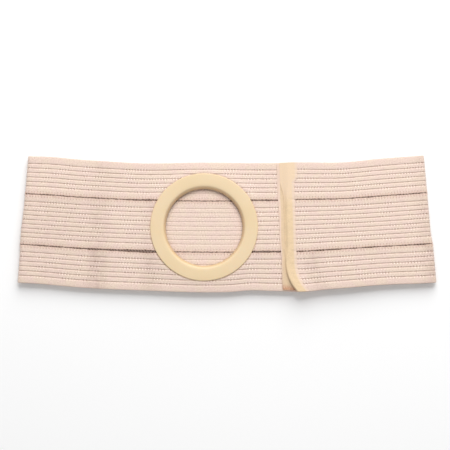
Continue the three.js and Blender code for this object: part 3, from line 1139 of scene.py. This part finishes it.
# %% Sew the zigzag seams
ZIGZAG_SHAPE = (  # share of the way to the next turn, height above the cloth
    (0.0, -0.25 * MM),
    (0.12, 0.12 * MM),
    (0.5, 0.18 * MM),
    (0.88, 0.12 * MM),
)
OUTER_FACE, INNER_FACE = 1, -1
STITCH_END = 6  # the zigzag stops this many millimetres before the cloth's end
TAPE_CLEAR = 0.4 * MM  # and this far from the hook tape
PROBE = 0.5 * MM  # half the width over which the cloth's sideways direction is read


def zigzag(seam, face):
    """Paths of the zigzag on one face of the loop, wherever nothing covers it."""
    points, along, _ = loop_surface([seam - PROBE, seam, seam + PROBE])
    middle = points[:, 1]
    sideways = points[:, 2] - points[:, 0]
    outward = np.cross(sideways, np.gradient(middle, axis=0))
    outward /= np.linalg.norm(outward, axis=1)[:, None]
    sideways /= np.linalg.norm(sideways, axis=1)[:, None]

    turns = np.arange(STITCH_START, loop_length / MM - STITCH_END, STITCH / 2) * MM
    steps = [
        (at + share * STITCH / 2 * MM, (1 if k % 2 else -1) * (1 - 2 * share), lift)
        for k, at in enumerate(turns[:-1])
        for share, lift in ZIGZAG_SHAPE
    ]
    place, swing, lift = (np.array(column) for column in zip(*steps))

    def here(values):
        return np.interp(place, LENGTH, values)

    def here_3d(values):
        return np.stack([here(values[:, k]) for k in range(3)], axis=1)

    spot = here(along[:, 1])
    opening = gape(spot, seam) * here(ON_FRONT + ON_UPPER) + BACK_GAPE * here(ON_BACK)
    moved = opening * pulled_open(STITCH_REACH * MM)
    side = swing * (STITCH_REACH * MM + moved)
    out = face * (WALL / 2 + lift)
    path = here_3d(middle) + here_3d(sideways) * side[:, None] + here_3d(outward) * out[:, None]

    from_ring = np.hypot(spot - RING_ALONG, seam)
    under_ring = from_ring < RING_OUTER_RADIUS + GAP
    under_tape = spot > tape_edge(seam) - TAPE_CLEAR
    under_binding = spot < end_edge(seam) + binding_width(seam)
    on_front, on_upper = here(ON_FRONT) > 0.5, here(ON_UPPER) > 0.5
    hidden = (on_front & (under_ring | under_tape)) | (on_upper & under_binding)
    return visible_runs(path, ~hidden)


for name, seam in (("upper_seam_stitches", UPPER_SEAM), ("lower_seam_stitches", LOWER_SEAM)):
    sew(name, zigzag(seam, OUTER_FACE) + zigzag(seam, INNER_FACE))

# %% Sew the hook tape's margin
MARGIN_STITCH = 2.6 * MM
MARGIN_INSET = 1.3 * MM
MARGIN_START, MARGIN_STOP = 1 * MM, 3 * MM  # how far from the tape's ends its stitches keep
MARGIN_SHAPE = (  # share of one stitch, height above the tape
    (0.05, -0.3 * MM),
    (0.15, 0.06 * MM),
    (0.5, 0.12 * MM),
    (0.85, 0.06 * MM),
    (0.95, -0.3 * MM),
)


def margin_row():
    starts = np.arange(TAPE_LOWER_EDGE + MARGIN_START, TAPE_UPPER_EDGE - MARGIN_STOP, MARGIN_STITCH)
    share, lift = (np.array(column) for column in zip(*MARGIN_SHAPE))
    across = (starts[:, None] + share[None, :] * MARGIN_STITCH).ravel()
    along = tape_edge(across) + MARGIN_INSET
    height = TAPE_BASE + tape_wall(across, MARGIN_INSET) + wavy(along, across)
    height = height + np.tile(lift, len(starts))
    return on_table(along, across, height)


sew("tape_margin_stitches", [margin_row()])

# %% [markdown]
# ## The table and the light
#
# The belt lies on a white sheet under soft light. One large lamp behind the belt's upper edge
# throws the soft shadow along the lower edge. A small weak one higher up draws the ribs and the
# ring's edges more clearly, and a pale sky fills in the shadows.

# %% Set the table and the light
WHITE = (0.95, 0.95, 0.95, 1)
deselect_all()
bpy.ops.mesh.primitive_plane_add(size=6, location=(0, 0, -0.35 * MM))
floor = bpy.context.object
floor.name = "table"
floor_paint, _, floor_shader = new_material("table_white")
floor_shader.inputs["Base Color"].default_value = WHITE
floor_shader.inputs["Roughness"].default_value = 0.9
floor_shader.inputs["Specular IOR Level"].default_value = 0.1
floor.data.materials.append(floor_paint)

LAMPS = (  # name, place, width, power: each shines on the belt's middle
    ("key_light", (0.22, 1.27, 1.01), 1.6, 23.2),
    ("top_light", (0.16, 0.75, 1.45), 0.3, 3.6),
)
for name, place, width, power in LAMPS:
    data = bpy.data.lights.new(name, "AREA")
    data.shape = "DISK"
    data.size = width
    data.energy = power
    lamp = bpy.data.objects.new(name, data)
    bpy.context.scene.collection.objects.link(lamp)
    lamp.location = place
    x, y, z = place
    lamp.rotation_euler = (math.atan2(math.hypot(x, y), z), 0, math.atan2(-y, -x) - math.pi / 2)

world = bpy.data.worlds.new("sky")
bpy.context.scene.world = world
world.use_nodes = True
sky = world.node_tree.nodes["Background"]
sky.inputs["Color"].default_value = (1, 1, 1, 1)
sky.inputs["Strength"].default_value = 0.56
bpy.context.scene.view_settings.view_transform = "Standard"
